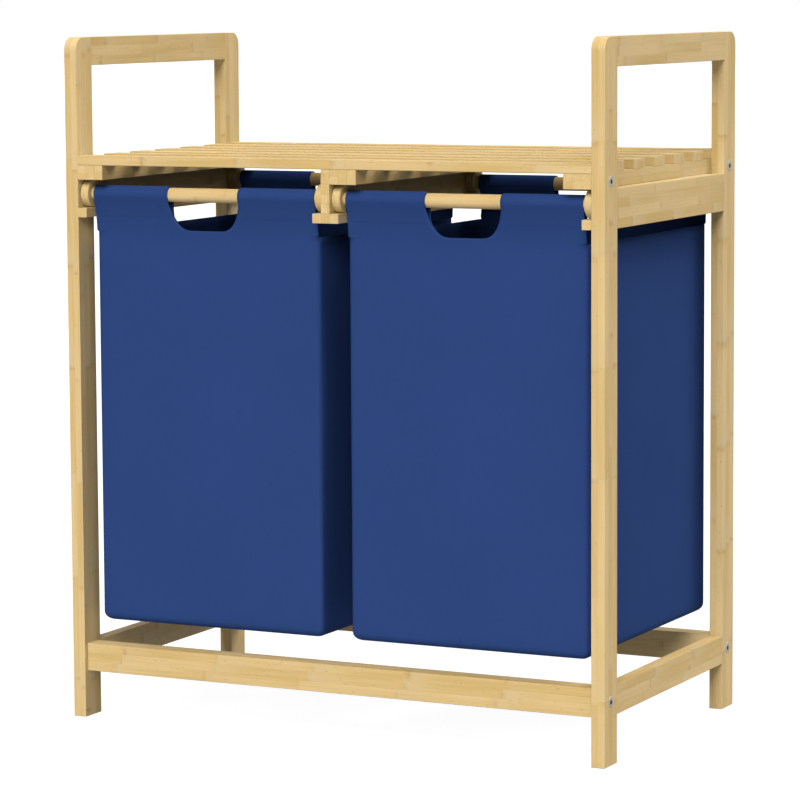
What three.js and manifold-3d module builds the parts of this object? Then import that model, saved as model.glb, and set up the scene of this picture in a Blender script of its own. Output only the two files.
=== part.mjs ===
import * as THREE from 'three';
import { mergeVertices } from 'three/addons/utils/BufferGeometryUtils.js';
import Module from 'manifold-3d';

// A bamboo laundry hamper: two side frames carry a slatted shelf, and two fabric bags hang under it.
// Each bag hangs on two wooden rods. The rods' end wheels run in channels under the shelf,
// so a bag rolls out to the front. X is to the right, Y to the back and Z up, in millimetres.
// The origin is on the floor, at the middle of the width and of the depth.

const wasm = await Module();
wasm.setup();

// The rack as a whole
const rack_width = 619;
const rack_depth = 360;
const rack_height = 730;

// Gap between two pieces that are seated on each other, and the overrun of a cut
const seat_gap = 0.3;
const cut_over = 2;

// Side frames: posts, rails and the stub tenons of the rails
const post_thick = 14.6;
const post_deep = 32.6;
const post_corner_radius = 14;
const handle_rail_high = 30;
const handle_opening_high = 120.3;
const upper_rail_high = 40;
const lower_rail_high = 30;
const lower_rail_floor_gap = 50;
const tenon_long = 8;
const tenon_thick = 6;
const tenon_shoulder = 5;

// The front and back rails near the floor
const cross_rail_thick = 21;

// The shelf
const slat_count = 7;
const slat_wide = 30;
const slat_thick = 10;
const bearer_wide = 30;
const bearer_thick = 15;

// The channels that the wheels run in
const ledge_wide = 10;
const ledge_thick = 10;
const web_thick = 10;
const peg_radius = 2.5;
const peg_stand = 4.4;
const peg_seat = 6;

// Bolts that hold the posts to the shelf and to the cross rails, and their threaded inserts
const bolt_radius = 2.8;
const bolt_head_radius = 6.3;
const bolt_head_thick = 2;
const bolt_head_stand = 0.3;
const bolt_socket_radius = 2.3;
const bolt_socket_deep = 1.4;
const bolt_reach = 12;
const insert_radius = 4.2;
const insert_long = 10;

// Wheels and rods
const wheel_thick = 9.5;
const wheel_top_play = 1;
const wheel_side_play = 0.3;
const wheel_back_inset = 1.8;
const wheel_front_inset = 4.2;
const rod_radius = 7.5;
const rod_seat = 6;

// Bags
const bag_bottom = 104.3;
const bag_side_drop = 15.7;
const bag_side_gap = 1.7;
const bag_face_tuck = 0.5;
const bag_corner_radius = 5;
const bag_bottom_radius = 9;
const fabric_thick = 1.2;
const sleeve_play = 0.3;
const sleeve_end_gap = 3.5;
const sleeve_seam_drop = 23;
const grip_top_half = 42;
const grip_bottom_half = 18.5;
const grip_corner_half = 36;
const grip_high = 37.5;
const grip_straight_drop = 8;

// How finely round shapes are divided
const wheel_segments = 40;
const rod_segments = 28;
const small_segments = 16;
const hex_segments = 6;
const corner_segments = 6;
const bend_segments = 5;
const arc_segments = 20;

// Heights and places that follow from the sizes above
const half_width = rack_width / 2;
const half_depth = rack_depth / 2;
const inner_half = half_width - post_thick;
const post_x = half_width - post_thick / 2;
const post_y = half_depth - post_deep / 2;
const side_rail_long = rack_depth - 2 * post_deep - 2 * seat_gap;
const upper_rail_top = rack_height - handle_rail_high - handle_opening_high;
const upper_rail_bottom = upper_rail_top - upper_rail_high;
const bearer_bottom = upper_rail_top;
const bearer_middle = bearer_bottom + bearer_thick / 2;
const shelf_high = bearer_bottom + bearer_thick + seat_gap + slat_thick;
const ledge_top = upper_rail_bottom + ledge_thick;
const channel_high = bearer_bottom - ledge_top;
const wheel_radius = (channel_high - wheel_top_play) / 2;
const wheel_high = ledge_top + seat_gap + wheel_radius;
const lower_rail_middle = lower_rail_floor_gap + lower_rail_high / 2;
const compartment_x = (inner_half + web_thick / 2) / 2;
const compartment_half = (inner_half - web_thick / 2) / 2;
const wheel_outer_face = compartment_half - wheel_side_play;
const wheel_inner_face = wheel_outer_face - wheel_thick;
const back_rod_y = half_depth - wheel_back_inset - wheel_radius;
const rod_spacing = rack_depth - wheel_front_inset - wheel_back_inset - 2 * wheel_radius;
const bag_y = back_rod_y - rod_spacing / 2;
const bag_half_x = compartment_half - ledge_wide - bag_side_gap;
const bag_half_y = rod_spacing / 2 - bag_face_tuck;
const bag_side_top = upper_rail_bottom - bag_side_drop;
const sleeve_half = wheel_inner_face - sleeve_end_gap;
const sleeve_radius = rod_radius + sleeve_play + fabric_thick;
const sleeve_seam_high = wheel_high - sleeve_seam_drop;

// Directions that a flat outline is extruded in: its x and y, and the way it is pushed
const outline_yz_push_x = [new THREE.Vector3(0, 1, 0), new THREE.Vector3(0, 0, 1), new THREE.Vector3(1, 0, 0)];
const outline_xz_push_y = [new THREE.Vector3(1, 0, 0), new THREE.Vector3(0, 0, 1), new THREE.Vector3(0, -1, 0)];

const bamboo_color = '#dfbf86';
const inner_bamboo_color = '#c9a66c';
const fabric_color = '#2e4679';
const steel_color = '#b9bcbc';
const brass_color = '#b59a5a';

/** A closed geometry as a solid that can be joined and cut. */
function solidOf(geometry) {
  const bare = geometry.clone();
  bare.deleteAttribute('normal');
  bare.deleteAttribute('uv');
  const merged = mergeVertices(bare);
  const mesh = new wasm.Mesh({
    numProp: 3,
    vertProperties: new Float32Array(merged.attributes.position.array),
    triVerts: new Uint32Array(merged.index.array),
  });
  return new wasm.Manifold(mesh);
}

/** A solid back as a geometry. */
function geometryOf(solid) {
  const mesh = solid.getMesh();
  const geometry = new THREE.BufferGeometry();
  geometry.setAttribute('position', new THREE.BufferAttribute(new Float32Array(mesh.vertProperties), 3));
  geometry.setIndex(new THREE.BufferAttribute(new Uint32Array(mesh.triVerts), 1));
  geometry.computeVertexNormals();
  return geometry;
}

/** A box from its sizes and its middle. */
function boxSolid(size_x, size_y, size_z, x, y, z) {
  const geometry = new THREE.BoxGeometry(size_x, size_y, size_z);
  geometry.translate(x, y, z);
  return solidOf(geometry);
}

/** A cylinder along X, between two places on X, round the line at y and z. */
function barSolid(radius, from_x, to_x, y, z, segments) {
  const geometry = new THREE.CylinderGeometry(radius, radius, to_x - from_x, segments);
  geometry.rotateZ(Math.PI / 2);
  geometry.translate((from_x + to_x) / 2, y, z);
  return solidOf(geometry);
}

/** An upright cylinder, between two heights. */
function pinSolid(radius, from_z, to_z, x, y, segments) {
  const geometry = new THREE.CylinderGeometry(radius, radius, to_z - from_z, segments);
  geometry.rotateX(Math.PI / 2);
  geometry.translate(x, y, (from_z + to_z) / 2);
  return solidOf(geometry);
}

/** A flat outline pushed along one axis, between two places on the way that it is pushed. */
function prismSolid(shape, directions, from, to) {
  const geometry = new THREE.ExtrudeGeometry(shape, { depth: to - from, bevelEnabled: false, steps: 1 });
  geometry.translate(0, 0, from);
  geometry.applyMatrix4(new THREE.Matrix4().makeBasis(...directions));
  return solidOf(geometry);
}

/** A closed skin through rings of equal counts, each a list of points that runs counterclockwise from above. */
function loftSolid(rings) {
  const count = rings[0].length;
  const points = rings.flat();
  const faces = [];
  for (let ring = 0; ring + 1 < rings.length; ring += 1) {
    for (let i = 0; i < count; i += 1) {
      const a = ring * count + i;
      const b = ring * count + ((i + 1) % count);
      faces.push(a, b, b + count, a, b + count, a + count);
    }
  }
  const top = (rings.length - 1) * count;
  const middle = (ring) => new THREE.Vector3(0, 0, ring[0].z);
  points.push(middle(rings[0]), middle(rings[rings.length - 1]));
  for (let i = 0; i < count; i += 1) {
    const next = (i + 1) % count;
    faces.push(points.length - 2, next, i);
    faces.push(points.length - 1, top + i, top + next);
  }
  const geometry = new THREE.BufferGeometry().setFromPoints(points);
  geometry.setIndex(faces);
  return solidOf(geometry);
}

function bamboo() {
  return new THREE.MeshStandardMaterial({ color: bamboo_color, roughness: 0.5, metalness: 0 });
}

function innerBamboo() {
  return new THREE.MeshStandardMaterial({ color: inner_bamboo_color, roughness: 0.6, metalness: 0 });
}

function blueFabric() {
  return new THREE.MeshStandardMaterial({ color: fabric_color, roughness: 0.9, metalness: 0 });
}

function steel() {
  return new THREE.MeshStandardMaterial({ color: steel_color, roughness: 0.35, metalness: 1 });
}

function brass() {
  return new THREE.MeshStandardMaterial({ color: brass_color, roughness: 0.4, metalness: 1 });
}

const hamper = new THREE.Group();
hamper.name = 'laundry_hamper_two_bins';

/** One named piece, its solid already in place. */
function place(name, solid, material) {
  const mesh = new THREE.Mesh(geometryOf(solid), material);
  mesh.name = name;
  hamper.add(mesh);
}

/** The names and heights of the three rails of a side frame, each with its bottom and its height. */
const side_rails = [
  { name: 'handle_rail', bottom: rack_height - handle_rail_high, high: handle_rail_high },
  { name: 'upper_side_rail', bottom: upper_rail_bottom, high: upper_rail_high },
  { name: 'lower_side_rail', bottom: lower_rail_floor_gap, high: lower_rail_high },
];

/** The heights of the two bolts through each post. */
const bolts = [
  { name: 'upper', z: bearer_middle },
  { name: 'lower', z: lower_rail_middle },
];

/** A post: a board on end with a round outer top corner, pockets for the tenons and holes for the bolts. */
function postSolid(side_x, side_y) {
  const inner = -side_y * post_deep / 2;
  const outer = side_y * post_deep / 2;
  const arc_y = outer - side_y * post_corner_radius;
  const arc_z = rack_height - post_corner_radius;
  const outline = new THREE.Shape();
  outline.moveTo(inner, 0);
  outline.lineTo(outer, 0);
  outline.lineTo(outer, arc_z);
  const from_angle = side_y > 0 ? 0 : Math.PI;
  outline.absarc(arc_y, arc_z, post_corner_radius, from_angle, Math.PI / 2, side_y < 0);
  outline.lineTo(inner, rack_height);
  outline.closePath();
  const x = side_x * post_x;
  const y = side_y * post_y;
  let post = prismSolid(outline, outline_yz_push_x, -post_thick / 2, post_thick / 2).translate(x, y, 0);
  for (const rail of side_rails) {
    const pocket_deep = tenon_long + seat_gap;
    const pocket_y = side_y * (half_depth - post_deep + (pocket_deep - cut_over) / 2);
    const pocket_high = rail.high - 2 * tenon_shoulder + 2 * seat_gap;
    const pocket_thick = tenon_thick + 2 * seat_gap;
    post = post.subtract(boxSolid(
      pocket_thick, pocket_deep + cut_over, pocket_high, x, pocket_y, rail.bottom + rail.high / 2));
  }
  const face = side_x * half_width;
  for (const bolt of bolts) {
    const through = [side_x * (inner_half - cut_over), side_x * (half_width + cut_over)].sort((a, b) => a - b);
    const sink = bolt_head_thick - bolt_head_stand + seat_gap;
    const recess = [face - side_x * sink, face + side_x * cut_over].sort((a, b) => a - b);
    post = post.subtract(barSolid(bolt_radius + seat_gap, ...through, y, bolt.z, small_segments));
    post = post.subtract(barSolid(bolt_head_radius + seat_gap, ...recess, y, bolt.z, rod_segments));
  }
  return post;
}

/** A rail of a side frame between its two posts, with a stub tenon at each end. */
function sideRailSolid(side_x, rail) {
  const x = side_x * post_x;
  const z = rail.bottom + rail.high / 2;
  const tenon_high = rail.high - 2 * tenon_shoulder;
  const body = boxSolid(post_thick, side_rail_long, rail.high, x, 0, z);
  const tenon_span = rack_depth - 2 * post_deep + 2 * tenon_long;
  return body.add(boxSolid(tenon_thick, tenon_span, tenon_high, x, 0, z));
}

/** A hole for a threaded insert, from an end at from_x inwards. */
function insertHole(side_x, from_x, y, z) {
  const deep = bolt_reach + 2 * seat_gap;
  const ends = [side_x * (from_x - deep), side_x * (from_x + cut_over)].sort((a, b) => a - b);
  return barSolid(insert_radius + seat_gap, ...ends, y, z, small_segments);
}

/** A rail near the floor that joins the two side frames, at the front or at the back. */
function crossRailSolid(side_y) {
  const end_x = inner_half - seat_gap;
  const y = side_y * post_y;
  let rail = boxSolid(2 * end_x, cross_rail_thick, lower_rail_high, 0, y, lower_rail_middle);
  for (const side_x of [-1, 1]) {
    rail = rail.subtract(insertHole(side_x, end_x, y, lower_rail_middle));
  }
  return rail;
}

/** A bearer under the slats, front to back; an outer one has insert holes for its posts' bolts. */
function bearerSolid(middle_x, side_x) {
  let bearer = boxSolid(bearer_wide, rack_depth, bearer_thick, middle_x, 0, bearer_middle);
  if (side_x !== 0) {
    for (const side_y of [-1, 1]) {
      bearer = bearer.subtract(insertHole(side_x, inner_half - seat_gap, side_y * post_y, bearer_middle));
    }
  }
  return bearer;
}

/** A bolt: a round head with a six-sided socket on the post's outer face, and a plain shank. */
function boltSolid(side_x, y, z) {
  const head_out = half_width + bolt_head_stand;
  const head_in = head_out - bolt_head_thick;
  const shank_end = inner_half - seat_gap - bolt_reach;
  const order = (a, b) => [side_x * a, side_x * b].sort((p, q) => p - q);
  const head = barSolid(bolt_head_radius, ...order(head_in, head_out), y, z, rod_segments);
  const shank = barSolid(bolt_radius, ...order(shank_end, head_out - bolt_socket_deep), y, z, small_segments);
  const socket = order(head_out - bolt_socket_deep, head_out + cut_over);
  return head.add(shank).subtract(barSolid(bolt_socket_radius, ...socket, y, z, hex_segments));
}

/** A threaded insert, a short tube in the end of a rail or the side of a bearer. */
function insertSolid(side_x, y, z) {
  const end_x = inner_half - 2 * seat_gap;
  const ends = [side_x * (end_x - insert_long), side_x * end_x].sort((a, b) => a - b);
  const tube = barSolid(insert_radius, ...ends, y, z, small_segments);
  const bore = barSolid(bolt_radius + seat_gap, ends[0] - cut_over, ends[1] + cut_over, y, z, small_segments);
  return tube.subtract(bore);
}

/** A hole for a stop peg in the top of a ledge. */
function pegHole(x) {
  const bottom = ledge_top - peg_seat - seat_gap;
  return pinSolid(peg_radius + seat_gap, bottom, ledge_top + cut_over, x, peg_y, small_segments);
}

const peg_y = half_depth - peg_radius - 2 * seat_gap;
const outer_ledge_x = inner_half - seat_gap - ledge_wide / 2;
const runner_flange_half = web_thick / 2 + ledge_wide;
const inner_peg_x = (web_thick + ledge_wide) / 2;

for (const [side_word, side_x] of [['left', -1], ['right', 1]]) {
  for (const [end_word, side_y] of [['front', -1], ['back', 1]]) {
    place(`post_${end_word}_${side_word}`, postSolid(side_x, side_y), bamboo());
  }
  for (const rail of side_rails) {
    place(`${rail.name}_${side_word}`, sideRailSolid(side_x, rail), bamboo());
  }
}

place('cross_rail_front', crossRailSolid(-1), bamboo());
place('cross_rail_back', crossRailSolid(1), bamboo());

const slat_pitch = (rack_depth - slat_wide) / (slat_count - 1);
for (let i = 0; i < slat_count; i += 1) {
  const y = -half_depth + slat_wide / 2 + i * slat_pitch;
  const z = shelf_high - slat_thick / 2;
  place(`shelf_slat_${i + 1}`, boxSolid(2 * (inner_half - seat_gap), slat_wide, slat_thick, 0, y, z), bamboo());
}

const outer_bearer_x = inner_half - seat_gap - bearer_wide / 2;
place('shelf_bearer_left', bearerSolid(-outer_bearer_x, -1), bamboo());
place('shelf_bearer_right', bearerSolid(outer_bearer_x, 1), bamboo());
place('shelf_bearer_middle', bearerSolid(web_thick / 2 + seat_gap + bearer_wide / 2, 0), bamboo());

const web_bottom = ledge_top + seat_gap;
const web_high = bearer_bottom + bearer_thick - web_bottom;
place('runner_web', boxSolid(web_thick, rack_depth, web_high, 0, 0, web_bottom + web_high / 2), bamboo());

const ledge_middle = ledge_top - ledge_thick / 2;
const flange = boxSolid(2 * runner_flange_half, rack_depth, ledge_thick, 0, 0, ledge_middle)
  .subtract(pegHole(-inner_peg_x))
  .subtract(pegHole(inner_peg_x));
place('runner_flange', flange, bamboo());

for (const [side_word, side_x] of [['left', -1], ['right', 1]]) {
  const ledge_x = side_x * outer_ledge_x;
  const ledge = boxSolid(ledge_wide, rack_depth, ledge_thick, ledge_x, 0, ledge_middle);
  place(`channel_ledge_${side_word}`, ledge.subtract(pegHole(ledge_x)), bamboo());
  for (const [end_word, x] of [['outer', ledge_x], ['inner', side_x * inner_peg_x]]) {
    const peg = pinSolid(peg_radius, ledge_top - peg_seat, ledge_top + peg_stand, x, peg_y, small_segments);
    place(`stop_peg_${side_word}_${end_word}`, peg, innerBamboo());
  }
  for (const [end_word, side_y] of [['front', -1], ['back', 1]]) {
    for (const bolt of bolts) {
      const y = side_y * post_y;
      place(`bolt_${bolt.name}_${end_word}_${side_word}`, boltSolid(side_x, y, bolt.z), steel());
      place(`insert_${bolt.name}_${end_word}_${side_word}`, insertSolid(side_x, y, bolt.z), brass());
    }
  }
}

/** One level ring of a bag: a rectangle with round corners, counterclockwise from above. */
function bagRing(half_x, half_y, radius, z) {
  const ring = [];
  const centres = [[1, 1], [-1, 1], [-1, -1], [1, -1]];
  centres.forEach(([sign_x, sign_y], quarter) => {
    for (let i = 0; i <= corner_segments; i += 1) {
      const angle = (quarter + i / corner_segments) * Math.PI / 2;
      const x = sign_x * (half_x - radius) + radius * Math.cos(angle);
      const y = sign_y * (half_y - radius) + radius * Math.sin(angle);
      ring.push(new THREE.Vector3(x, y, z));
    }
  });
  return ring;
}

/** The skin of a bag's lower part, drawn in by inset, up to the given height. */
function bagBodySolid(inset, top) {
  const radius = bag_corner_radius - inset;
  const rings = [];
  for (let i = 0; i <= bend_segments; i += 1) {
    const angle = (i / bend_segments) * Math.PI / 2;
    const draw = inset + (bag_bottom_radius - inset) * (1 - Math.sin(angle));
    const z = bag_bottom + inset + (bag_bottom_radius - inset) * (1 - Math.cos(angle));
    rings.push(bagRing(bag_half_x - draw, bag_half_y - draw, radius, z));
  }
  rings.push(bagRing(bag_half_x - inset, bag_half_y - inset, radius, top));
  return loftSolid(rings);
}

/** The end view of a rod sleeve: an arc over the rod and two straight sides down to the seam. */
function sleeveOutline(radius, seam_front, seam_back, seam_z, rod_y) {
  const tangent = (seam_y, turn) => {
    const dy = seam_y - rod_y;
    const dz = seam_z - wheel_high;
    return Math.atan2(dz, dy) + turn * Math.acos(radius / Math.hypot(dy, dz));
  };
  const from_angle = tangent(seam_back, 1);
  const to_angle = tangent(seam_front, -1) + 2 * Math.PI;
  const outline = new THREE.Shape();
  outline.moveTo(seam_front, seam_z);
  outline.lineTo(seam_back, seam_z);
  for (let i = 0; i <= arc_segments; i += 1) {
    const angle = from_angle + (to_angle - from_angle) * (i / arc_segments);
    outline.lineTo(rod_y + radius * Math.cos(angle), wheel_high + radius * Math.sin(angle));
  }
  outline.closePath();
  return outline;
}

/** The front view of a bag's upper panel: it narrows from the side panels to the sleeve. */
function panelOutline() {
  const outline = new THREE.Shape();
  const low = bag_side_top - fabric_thick;
  const shoulder = wheel_high - rod_radius;
  const high = wheel_high + sleeve_radius + cut_over;
  outline.moveTo(-bag_half_x, low);
  outline.lineTo(bag_half_x, low);
  outline.lineTo(sleeve_half, shoulder);
  outline.lineTo(sleeve_half, high);
  outline.lineTo(-sleeve_half, high);
  outline.lineTo(-sleeve_half, shoulder);
  outline.closePath();
  return outline;
}

/** The front view of the hand opening: wide at the rod, drawn in to a flat bottom with round corners. */
function gripOutline() {
  const outline = new THREE.Shape();
  const low = wheel_high - grip_high;
  const bend = wheel_high - grip_straight_drop;
  const high = wheel_high + sleeve_radius + cut_over;
  outline.moveTo(-grip_bottom_half, low);
  outline.lineTo(grip_bottom_half, low);
  outline.quadraticCurveTo(grip_corner_half, low, grip_top_half, bend);
  outline.lineTo(grip_top_half, high);
  outline.lineTo(-grip_top_half, high);
  outline.lineTo(-grip_top_half, bend);
  outline.quadraticCurveTo(-grip_corner_half, low, -grip_bottom_half, low);
  return outline;
}

/** The front or back panel above the side panels, with its rod sleeve and its hand opening. */
function upperPanelSolid(side_y) {
  const rod_y = side_y * rod_spacing / 2;
  const face = side_y * bag_half_y;
  const back = face - side_y * fabric_thick;
  const seam = [face, face - side_y * 2 * fabric_thick].sort((a, b) => a - b);
  const sleeve = prismSolid(
    sleeveOutline(sleeve_radius, ...seam, sleeve_seam_high, rod_y),
    outline_yz_push_x, -bag_half_x, bag_half_x);
  const hollow_seam = [face - side_y * fabric_thick * 0.9, face - side_y * fabric_thick * 1.1].sort((a, b) => a - b);
  const hollow = prismSolid(
    sleeveOutline(sleeve_radius - fabric_thick, ...hollow_seam, sleeve_seam_high + 2 * fabric_thick, rod_y),
    outline_yz_push_x, -bag_half_x - cut_over, bag_half_x + cut_over);
  const panel_low = bag_side_top - fabric_thick;
  const panel_high = sleeve_seam_high + fabric_thick;
  const panel = boxSolid(
    2 * bag_half_x, fabric_thick, panel_high - panel_low,
    0, (face + back) / 2, (panel_low + panel_high) / 2);
  const span = [-face - sleeve_radius - cut_over, -face + sleeve_radius + cut_over];
  const front_view = prismSolid(panelOutline(), outline_xz_push_y, ...span);
  const grip = prismSolid(gripOutline(), outline_xz_push_y, span[0] - cut_over, span[1] + cut_over);
  return sleeve.subtract(hollow).add(panel).intersect(front_view).subtract(grip);
}

/** A whole bag: an open box of fabric whose front and back panels go up to their rods. */
function bagSolid() {
  const shell = bagBodySolid(0, bag_side_top).subtract(bagBodySolid(fabric_thick, bag_side_top + cut_over));
  return shell.add(upperPanelSolid(-1)).add(upperPanelSolid(1));
}

/** A wheel, with a blind hole in its inner face for the rod. */
function wheelSolid(side_x, y) {
  const ends = [side_x * wheel_inner_face, side_x * wheel_outer_face].sort((a, b) => a - b);
  const hole_deep = rod_seat + seat_gap;
  const hole = [side_x * (wheel_inner_face - cut_over), side_x * (wheel_inner_face + hole_deep)].sort((a, b) => a - b);
  return barSolid(wheel_radius, ...ends, y, wheel_high, wheel_segments)
    .subtract(barSolid(rod_radius + seat_gap, ...hole, y, wheel_high, rod_segments));
}

const bag_solid = bagSolid();
for (const [side_word, side_x] of [['left', -1], ['right', 1]]) {
  const x = side_x * compartment_x;
  place(`${side_word}_bag`, bag_solid.translate(x, bag_y, 0), blueFabric());
  for (const [end_word, side_y] of [['front', -1], ['back', 1]]) {
    const rod_y = bag_y + side_y * rod_spacing / 2;
    const rod_half = wheel_inner_face + rod_seat;
    const rod = barSolid(rod_radius, x - rod_half, x + rod_half, rod_y, wheel_high, rod_segments);
    place(`${side_word}_bag_${end_word}_rod`, rod, bamboo());
    for (const [place_word, wheel_side] of [['left', -1], ['right', 1]]) {
      const wheel = wheelSolid(wheel_side, rod_y).translate(x, 0, 0);
      place(`${side_word}_bag_${end_word}_wheel_${place_word}`, wheel, bamboo());
    }
  }
}

export default hamper;
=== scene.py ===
"""Looks of the laundry hamper: a bamboo rack with a slatted shelf and two blue bags on wheeled rods."""
import itertools
import logging
import math
from dataclasses import dataclass, field
from enum import Enum

import bpy
import numpy as np
from mathutils import Matrix, Vector


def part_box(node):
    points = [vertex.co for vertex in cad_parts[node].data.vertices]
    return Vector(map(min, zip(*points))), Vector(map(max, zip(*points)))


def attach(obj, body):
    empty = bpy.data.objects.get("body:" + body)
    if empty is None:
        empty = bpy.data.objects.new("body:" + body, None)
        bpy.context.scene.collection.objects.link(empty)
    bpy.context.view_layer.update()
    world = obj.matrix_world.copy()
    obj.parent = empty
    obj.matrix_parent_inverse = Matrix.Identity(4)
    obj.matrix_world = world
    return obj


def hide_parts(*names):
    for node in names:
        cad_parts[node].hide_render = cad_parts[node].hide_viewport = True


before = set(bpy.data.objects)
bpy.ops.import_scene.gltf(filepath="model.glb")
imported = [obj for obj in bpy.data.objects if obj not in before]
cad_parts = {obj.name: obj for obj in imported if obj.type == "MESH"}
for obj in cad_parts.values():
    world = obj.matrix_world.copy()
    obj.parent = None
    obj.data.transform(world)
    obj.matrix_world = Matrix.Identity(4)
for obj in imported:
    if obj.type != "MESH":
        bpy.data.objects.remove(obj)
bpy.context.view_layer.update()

SIDES = ("left", "right")
ENDS = ("front", "back")
RACK = "rack"
SIDE_RAILS = ("handle_rail", "upper_side_rail", "lower_side_rail")
SLATS = tuple(f"shelf_slat_{number}" for number in range(1, 8))
QUARTER = math.pi / 2
EASE_POINTS = 4  # points of a board's quarter-round end
RIM_POINTS = 5  # points of a turned piece's rim
HAIR = 1e-6  # metres, for comparing places that are meant to be the same
log = logging.getLogger("hamper")

Colour = tuple[float, float, float, float]
Noise = tuple[float, float, float]


class Axis(Enum):
    """The way that a board's length or a turned piece's middle line runs."""

    X = 0
    Y = 1
    Z = 2


@dataclass(frozen=True)
class Surface:
    """A mesh before it is put into Blender.

    Attributes:
        points: Corner points, one row each, in metres.
        faces: Lists of point numbers, one for each face, counterclockwise from outside.
        marks: What the finishes read at each point, by name: grain_place, its place in the wood;
        long_edge, how far it lies on a rounded long edge, and 1 on an inner slat's side, which sets its
        painted shade; end_face, how far it lies on a sawn end; and hollow, 1 where it lies in a hollow that
        gets painted black shade.
        cloth: For each corner of each face its place on the flat cloth, or None.
    """

    points: np.ndarray
    faces: list[list[int]]
    marks: dict[str, np.ndarray] = field(default_factory=dict)
    cloth: np.ndarray | None = None


def box_of(node: str) -> np.ndarray:
    """The lowest and the highest corner of a node's solid, as two rows."""
    return np.array(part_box(node))


def circle(turn: np.ndarray) -> np.ndarray:
    """The point (cos t, sin t) for each angle."""
    return np.stack([np.cos(turn), np.sin(turn)], -1)


def at_height(rings: np.ndarray, place: np.ndarray) -> np.ndarray:
    """Gives every ring of (first, second) points its place on the third axis."""
    return np.concatenate([rings, np.broadcast_to(place[:, None, None], (*rings.shape[:2], 1))], -1)


def face_corners(grid: np.ndarray) -> np.ndarray:
    """What the four corners of each face of a grid hold, counterclockwise.

    Args:
        grid: Point numbers or values, by row and column.

    Returns:
        Four of them for each face, row by row.
    """
    corners = np.stack([grid[:-1, :-1], grid[:-1, 1:], grid[1:, 1:], grid[1:, :-1]], 2)
    return corners.reshape(-1, 4, *grid.shape[2:])


def round_again(grid: np.ndarray) -> np.ndarray:
    """A grid with its first column once more after its last, so that its faces close to a tube."""
    return np.hstack([grid, grid[:, :1]])


def tube_faces(rings: int, count: int) -> list[list[int]]:
    """Faces of rings of points, each joined to the next, with a flat face over both ends.

    Args:
        rings: Number of rings.
        count: Number of points in each ring.

    Returns:
        Point numbers of each face.
    """
    numbers = np.arange(rings * count).reshape(rings, count)
    ends = [numbers[0, ::-1].tolist(), numbers[-1].tolist()]
    return face_corners(round_again(numbers)).tolist() + ends


def rounded_outline(size: np.ndarray, radii: tuple[float, ...], steps: int) -> tuple[np.ndarray, np.ndarray]:
    """A rectangle with a quarter circle at each corner, counterclockwise.

    A point is the corner's arc centre plus the radius times (cos t, sin t), and (cos t, sin t) is its normal.

    Args:
        size: Full width and height.
        radii: Radius at the corners (+,+), (-,+), (-,-) and (+,-).
        steps: Divisions of each quarter circle.

    Returns:
        Points and their outward normals.
    """
    corner = np.repeat(np.arange(4), steps + 1)
    normals = circle((corner + np.tile(np.arange(steps + 1) / steps, 4)) * QUARTER)
    signs = np.array([[1, 1], [-1, 1], [-1, -1], [1, -1]])[corner]
    radius = np.array(radii)[corner][:, None]
    return signs * (size / 2 - radius) + radius * normals, normals


def eased_sweep(outline: np.ndarray, normals: np.ndarray, start: float, end: float, ease: float) -> Surface:
    """An outline carried along a straight line, with a quarter-round edge at each end.

    At an angle f of the edge the outline is drawn in along its normals by ease times (1 - cos f),
    and the place on the line is ease times (1 - sin f) inside the end. The mark long_edge is the size of
    the sine of twice the normal's angle, 1 in the middle of a rounded corner, and 0 on the end faces.

    Args:
        outline: Points of the outline, counterclockwise, as first and second coordinate.
        normals: Outward normals of those points.
        start: Lower end on the line, the third coordinate.
        end: Upper end on the line.
        ease: Radius of the edge.

    Returns:
        A closed surface in the coordinates (first, second, line), with the marks long_edge and end_face.
    """
    turn = np.linspace(0, QUARTER, EASE_POINTS)
    place = ease * (1 - np.sin(turn))
    inset = ease * (1 - np.cos(turn))
    line = np.concatenate([start + place[::-1], end - place])
    draw = np.concatenate([inset[::-1], inset])
    points = at_height(outline - draw[:, None, None] * normals, line)
    on_end = (draw == draw.max()).astype(float)[:, None]
    edge = np.abs(2 * normals[:, 0] * normals[:, 1]) * (1 - on_end)
    marks = {"long_edge": edge.ravel(), "end_face": np.broadcast_to(on_end, edge.shape).ravel()}
    return Surface(points.reshape(-1, 3), tube_faces(len(line), len(outline)), marks)


def turned(radius: np.ndarray, place: np.ndarray, segments: int) -> Surface:
    """A profile turned round the third axis, closed by a flat face at each end.

    A point is (radius cos t, radius sin t, place).

    Args:
        radius: For each row its radius, or its radius at every division of the circle.
        place: For each row its place on the axis, from the lower end to the upper.
        segments: Divisions of the circle.

    Returns:
        A closed surface.
    """
    ring = circle(np.arange(segments) * 2 * math.pi / segments)
    points = at_height(radius.reshape(len(place), -1, 1) * ring, place)
    return Surface(points.reshape(-1, 3), tube_faces(len(place), segments))


def to_axis(points: np.ndarray, axis: Axis) -> np.ndarray:
    """Turns (first, second, line) points, unmirrored, so that the line runs along an axis."""
    return np.roll(points, axis.value + 1, axis=1)


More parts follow.
